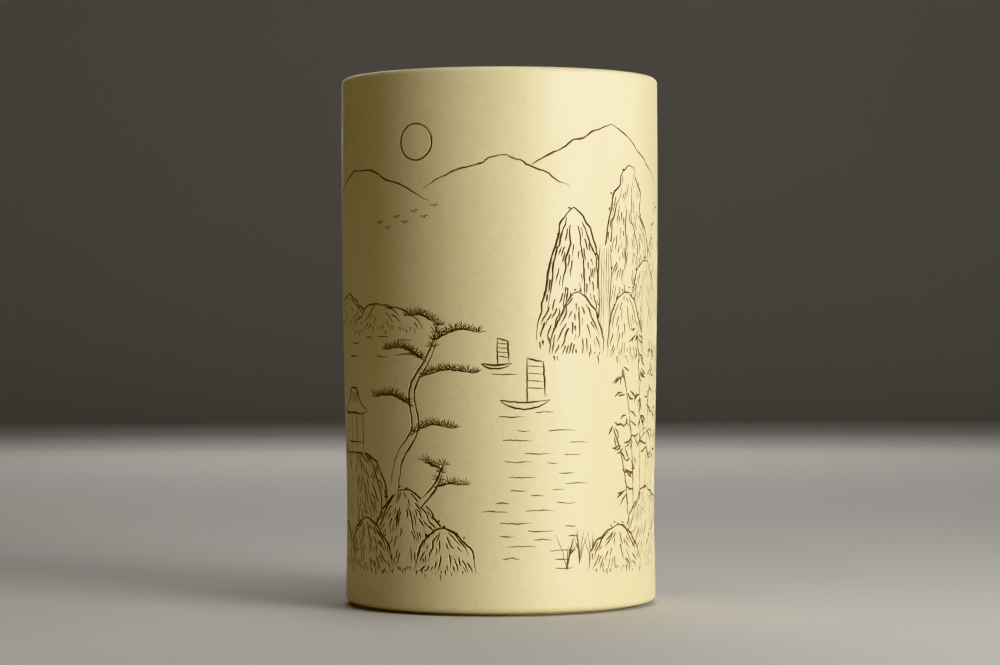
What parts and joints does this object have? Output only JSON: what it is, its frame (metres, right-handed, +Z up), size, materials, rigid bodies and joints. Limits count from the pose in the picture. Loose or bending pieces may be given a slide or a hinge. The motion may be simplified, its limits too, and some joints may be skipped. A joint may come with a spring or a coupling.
{
  "type": "brush pot",
  "caption": "Tall cylindrical stoneware pot for holding writing brushes, open at the top, slab-built with a low foot ring and a line landscape carved round its wall.",
  "frame": {"origin": "centre of the foot ring's lower face, on the surface that the pot stands on", "axes": "+Z up along the pot's axis and out of its mouth; -Y is the front, where the carved lake is; the wall's seam is at +Y"},
  "size_m": [0.09, 0.09, 0.149],
  "materials": {
    "clay": "fine unglazed stoneware, pale yellow, burnished to a soft sheen",
    "iron_slip": "matt reddish-brown slip rubbed into the carved lines"
  },
  "bodies": {
    "root": {"wall": "clay", "wall_seam": "clay", "floor_disc": "clay", "corner_coil": "clay", "foot_ring": "clay"}
  },
  "joints": []
}
